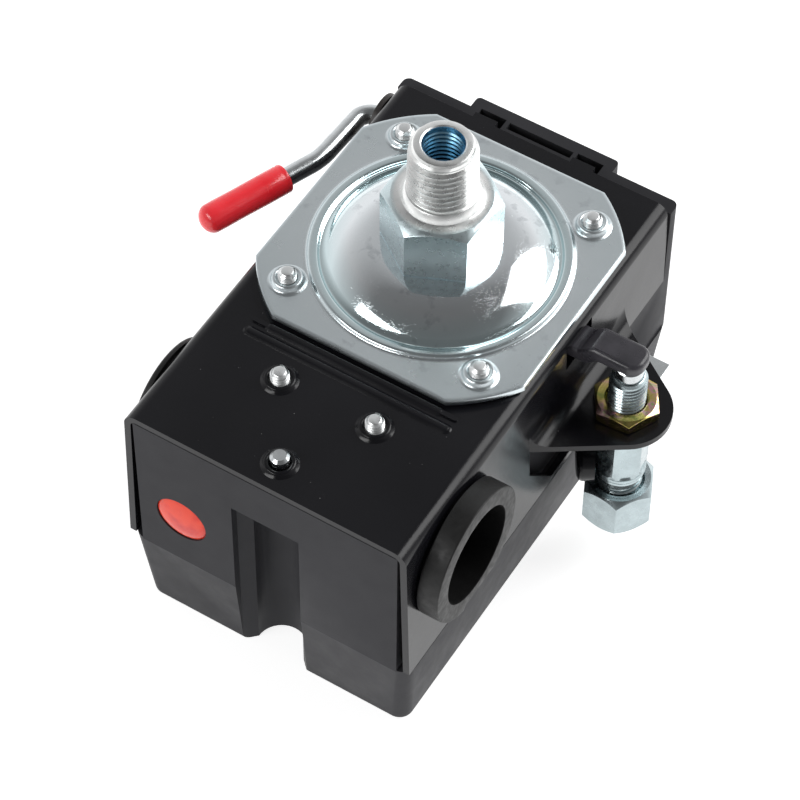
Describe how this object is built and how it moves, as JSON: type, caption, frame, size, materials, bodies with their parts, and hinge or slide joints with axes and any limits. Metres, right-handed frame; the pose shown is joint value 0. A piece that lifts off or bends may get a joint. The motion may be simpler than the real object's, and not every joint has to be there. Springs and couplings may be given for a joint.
{
  "type": "pressure switch",
  "caption": "Air-compressor pressure switch with a flanged pressure port, side unloader valve, cable entry, lever and indicator.",
  "frame": {"origin": "on the pressure port's axis, at the flat top face of the cover, which is the face it lies on here; in service the switch is turned over and screwed onto a pipe by the port", "axes": "+Z along the pressure port's axis, out of the port; -Y towards the indicator face; +X towards the unloader valve and the open cable entry"},
  "size_m": [0.1079, 0.1116, 0.101],
  "materials": {
    "frame_paint": "gloss",
    "cover_plastic": "satin",
    "zinc": "satin",
    "bright_steel": "gloss",
    "yellow_zinc": "gloss",
    "spring_steel": "satin",
    "brass": "satin",
    "copper_strip": "satin",
    "red_lens": "gloss",
    "red_vinyl": "gloss",
    "black_rubber": "satin",
    "moulding": "satin",
    "lamp_glass": "gloss"
  },
  "bodies": {
    "housing": {"base_frame": "frame_paint", "cover": "cover_plastic", "cover_screw": "zinc", "indicator_lens": "red_lens", "indicator_lamp": "lamp_glass", "diaphragm": "black_rubber", "flange_plate": "bright_steel", "port_fitting": "zinc", "flange_screws": "zinc", "block_screws": "zinc", "cable_grommet": "black_rubber", "blanking_plug": "black_rubber", "terminal_block": "moulding", "terminal_strips": "brass", "terminal_screws": "zinc", "pivot_bracket": "zinc", "rocker_pin": "spring_steel", "range_stud": "zinc", "range_nut": "zinc", "differential_stud": "zinc", "differential_nut": "zinc", "valve_body": "bright_steel", "valve_lock_tab": "zinc", "valve_lock_nut": "yellow_zinc", "compression_nut": "zinc", "compression_ferrule": "brass", "bleed_port_cap": "black_rubber", "lever_bushing": "moulding", "range_spring": "spring_steel", "differential_spring": "spring_steel", "valve_spring": "spring_steel"},
    "rocker_body": {"rocker": "zinc", "unloader_arm": "frame_paint", "range_spring_seat": "zinc"},
    "piston_body": {"diaphragm_piston": "moulding"},
    "contact_body": {"contact_carrier": "moulding", "contact_bridges": "copper_strip", "contact_springs": "spring_steel"},
    "stem_body": {"valve_stem": "bright_steel"},
    "lever_body": {"onoff_lever": "zinc", "lever_grip": "red_vinyl", "lever_clip": "spring_steel", "lever_cam": "moulding"}
  },
  "joints": [
    {"name": "rocker_tilt", "type": "hinge", "parent": "housing", "child": "rocker_body", "pos_m": [0, -0.018, 0.0455], "axis": [-1, 0, 0], "range_deg": [0, 4], "stiffness_Nm_per_rad": 0.5, "deforming": ["range_spring", "differential_spring"]},
    {"name": "piston_travel", "type": "slide", "parent": "housing", "child": "piston_body", "axis": [0, 0, -1], "range_m": [0, 0.00126]},
    {"name": "contact_travel", "type": "slide", "parent": "housing", "child": "contact_body", "axis": [0, 0, 1], "range_m": [0, 0.00074]},
    {"name": "stem_travel", "type": "slide", "parent": "housing", "child": "stem_body", "axis": [0, 0, -1], "range_m": [0, 0.00126], "deforming": ["valve_spring"]},
    {"name": "lever_turn", "type": "hinge", "parent": "housing", "child": "lever_body", "pos_m": [-0.03, 0.0325, 0.0565], "axis": [1, 0, 0], "range_deg": [0, 50]}
  ],
  "couplings": [
    {"joint": "piston_travel", "follows": "rocker_tilt", "m_per_rad": 0.018},
    {"joint": "contact_travel", "follows": "rocker_tilt", "m_per_rad": 0.0105},
    {"joint": "stem_travel", "follows": "rocker_tilt", "m_per_rad": 0.018}
  ]
}
